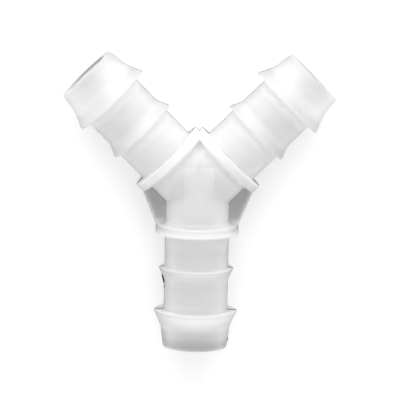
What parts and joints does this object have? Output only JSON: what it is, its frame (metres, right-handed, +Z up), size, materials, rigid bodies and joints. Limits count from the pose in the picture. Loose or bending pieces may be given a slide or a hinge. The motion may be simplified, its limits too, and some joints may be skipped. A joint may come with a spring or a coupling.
{
  "type": "tubing y connector",
  "caption": "Barbed Y-shaped hose connector with equal tails, collars and web gussets, moulded in one piece of translucent plastic.",
  "frame": {"origin": "middle of the footprint, on the surface that the fitting lies on; the axes of the three legs cross 2.43 mm along +Y from it, 7.85 mm up", "axes": "+Z up, square to the plane of the three legs; +Y along the inlet leg, from its mouth towards the fork; +X towards the right outlet"},
  "size_m": [0.0512, 0.0562, 0.0157],
  "materials": {
    "natural_plastic": "natural, unpigmented polypropylene: milky and translucent, satin to semi-gloss as moulded"
  },
  "bodies": {
    "root": {"y_connector": "natural_plastic"}
  },
  "joints": []
}
